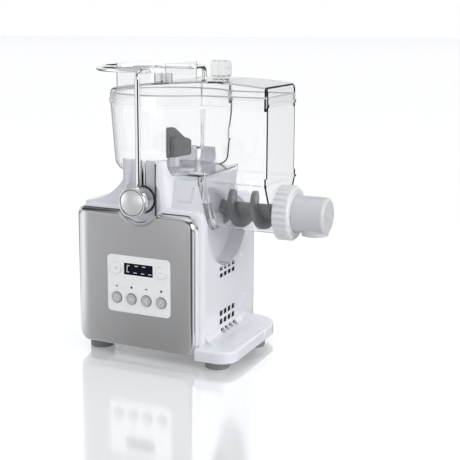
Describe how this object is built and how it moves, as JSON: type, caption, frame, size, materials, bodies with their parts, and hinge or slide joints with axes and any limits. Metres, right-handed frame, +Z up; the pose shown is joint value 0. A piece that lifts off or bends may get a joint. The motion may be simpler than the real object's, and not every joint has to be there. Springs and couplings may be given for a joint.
{
  "type": "electric pasta maker",
  "caption": "Electric pasta maker: clear mixing bowl and hopper over a geared drive, level pressing screw with ring nut and die nozzle, steel front with buttons, clear lid under a chrome bail",
  "frame": {"origin": "middle of the bounding box's base, on the table", "axes": "+X towards the nozzle, +Y to the back, away from the control panel, +Z up"},
  "size_m": [0.2888, 0.196, 0.337],
  "materials": {
    "white_housing": "gloss",
    "panel_steel": "satin, brushed",
    "chrome": "polished",
    "control_white": "satin",
    "display_dark": "clear gloss over dark",
    "black_plastic": "matte",
    "light_guide": "clear",
    "key_grey": "satin",
    "board_green": "matte",
    "foot_rubber": "matte",
    "seal_rubber": "matte",
    "shaft_steel": "ground",
    "motor_paint": "satin paint",
    "frame_steel": "zinc plated",
    "brass": "machined",
    "gear_nylon": "moulded",
    "clear_plastic": "clear",
    "paddle_grey": "satin",
    "white_food_plastic": "satin"
  },
  "bodies": {
    "machine": {"body_shell": "white_housing", "base_plate": "white_housing", "front_panel": "panel_steel", "notch_trim": "chrome", "control_plate": "control_white", "display_window": "display_dark", "display_module": "black_plastic", "led_pipes": "light_guide", "control_board": "board_green", "key_switches": "black_plastic", "feet": "foot_rubber", "base_screws": "shaft_steel", "cord_gland": "black_plastic", "motor_can": "motor_paint", "motor_saddle": "black_plastic", "gear_frame": "frame_steel", "shaft_bushes": "brass", "paddle_bush": "brass", "paddle_seal": "seal_rubber", "vessel": "clear_plastic", "screw_seal": "seal_rubber", "nozzle": "white_food_plastic", "nozzle_seal": "seal_rubber", "die_plate": "white_food_plastic", "hub_bushes": "black_plastic", "bail_switch": "black_plastic"},
    "screw_drive": {"output_shaft": "shaft_steel", "output_gear": "gear_nylon", "drive_bevel": "frame_steel", "screw": "paddle_grey"},
    "lay_train": {"lay_shaft": "shaft_steel", "lay_gear": "gear_nylon", "lay_pinion": "brass"},
    "rotor": {"rotor_shaft": "shaft_steel", "motor_pinion": "brass", "cooling_fan": "black_plastic"},
    "paddle_drive": {"paddle_shaft": "shaft_steel", "paddle_bevel": "frame_steel", "paddle_coupling": "white_food_plastic", "paddle": "paddle_grey"},
    "minus_key": {"button_minus": "control_white"},
    "plus_key": {"button_plus": "control_white"},
    "start_key": {"button_start": "key_grey"},
    "mix_key": {"button_mix": "key_grey"},
    "extrude_key": {"button_extrude": "key_grey"},
    "stop_key": {"button_stop": "key_grey"},
    "bail": {"bail_rod": "chrome", "front_knob": "chrome", "rear_knob": "chrome", "front_hub": "chrome", "rear_hub": "chrome"},
    "lid_set": {"lid": "clear_plastic", "lid_gasket": "seal_rubber", "lid_knob": "clear_plastic"},
    "nut": {"ring_nut": "white_food_plastic"}
  },
  "joints": [
    {"name": "screw_spin", "type": "hinge", "parent": "machine", "child": "screw_drive", "pos_m": [0.01005, 0, 0.1685], "axis": [1, 0, 0], "continuous": true},
    {"name": "lay_spin", "type": "hinge", "parent": "machine", "child": "lay_train", "pos_m": [-0.01995, 0, 0.1295], "axis": [1, 0, 0], "continuous": true},
    {"name": "rotor_spin", "type": "hinge", "parent": "machine", "child": "rotor", "pos_m": [-0.04995, 0, 0.0905], "axis": [1, 0, 0], "continuous": true},
    {"name": "paddle_spin", "type": "hinge", "parent": "machine", "child": "paddle_drive", "pos_m": [-0.04995, 0, 0.22], "axis": [0, 0, 1], "continuous": true},
    {"name": "minus_press", "type": "slide", "parent": "machine", "child": "minus_key", "axis": [0, 1, 0], "range_m": [0, 0.0008], "stiffness_N_per_m": 1200},
    {"name": "plus_press", "type": "slide", "parent": "machine", "child": "plus_key", "axis": [0, 1, 0], "range_m": [0, 0.0008], "stiffness_N_per_m": 1200},
    {"name": "start_press", "type": "slide", "parent": "machine", "child": "start_key", "axis": [0, 1, 0], "range_m": [0, 0.0008], "stiffness_N_per_m": 1200},
    {"name": "mix_press", "type": "slide", "parent": "machine", "child": "mix_key", "axis": [0, 1, 0], "range_m": [0, 0.0008], "stiffness_N_per_m": 1200},
    {"name": "extrude_press", "type": "slide", "parent": "machine", "child": "extrude_key", "axis": [0, 1, 0], "range_m": [0, 0.0008], "stiffness_N_per_m": 1200},
    {"name": "stop_press", "type": "slide", "parent": "machine", "child": "stop_key", "axis": [0, 1, 0], "range_m": [0, 0.0008], "stiffness_N_per_m": 1200},
    {"name": "bail_swing", "type": "hinge", "parent": "machine", "child": "bail", "pos_m": [-0.04995, 0, 0.184], "axis": [0, 1, 0], "range_deg": [-95, 0]},
    {"name": "lid_lift", "type": "slide", "parent": "machine", "child": "lid_set", "axis": [0, 0, 1], "range_m": [0, 0.024]},
    {"name": "nut_turn", "type": "hinge", "parent": "machine", "child": "nut", "pos_m": [0.10005, 0, 0.1685], "axis": [1, 0, 0], "range_deg": [0, 60]}
  ],
  "couplings": [
    {"joint": "lay_spin", "follows": "screw_spin", "ratio": -3.3333},
    {"joint": "rotor_spin", "follows": "screw_spin", "ratio": 11.111},
    {"joint": "paddle_spin", "follows": "screw_spin", "ratio": -1},
    {"joint": "lid_lift", "follows": "bail_swing", "m_per_rad": -0.0144}
  ]
}
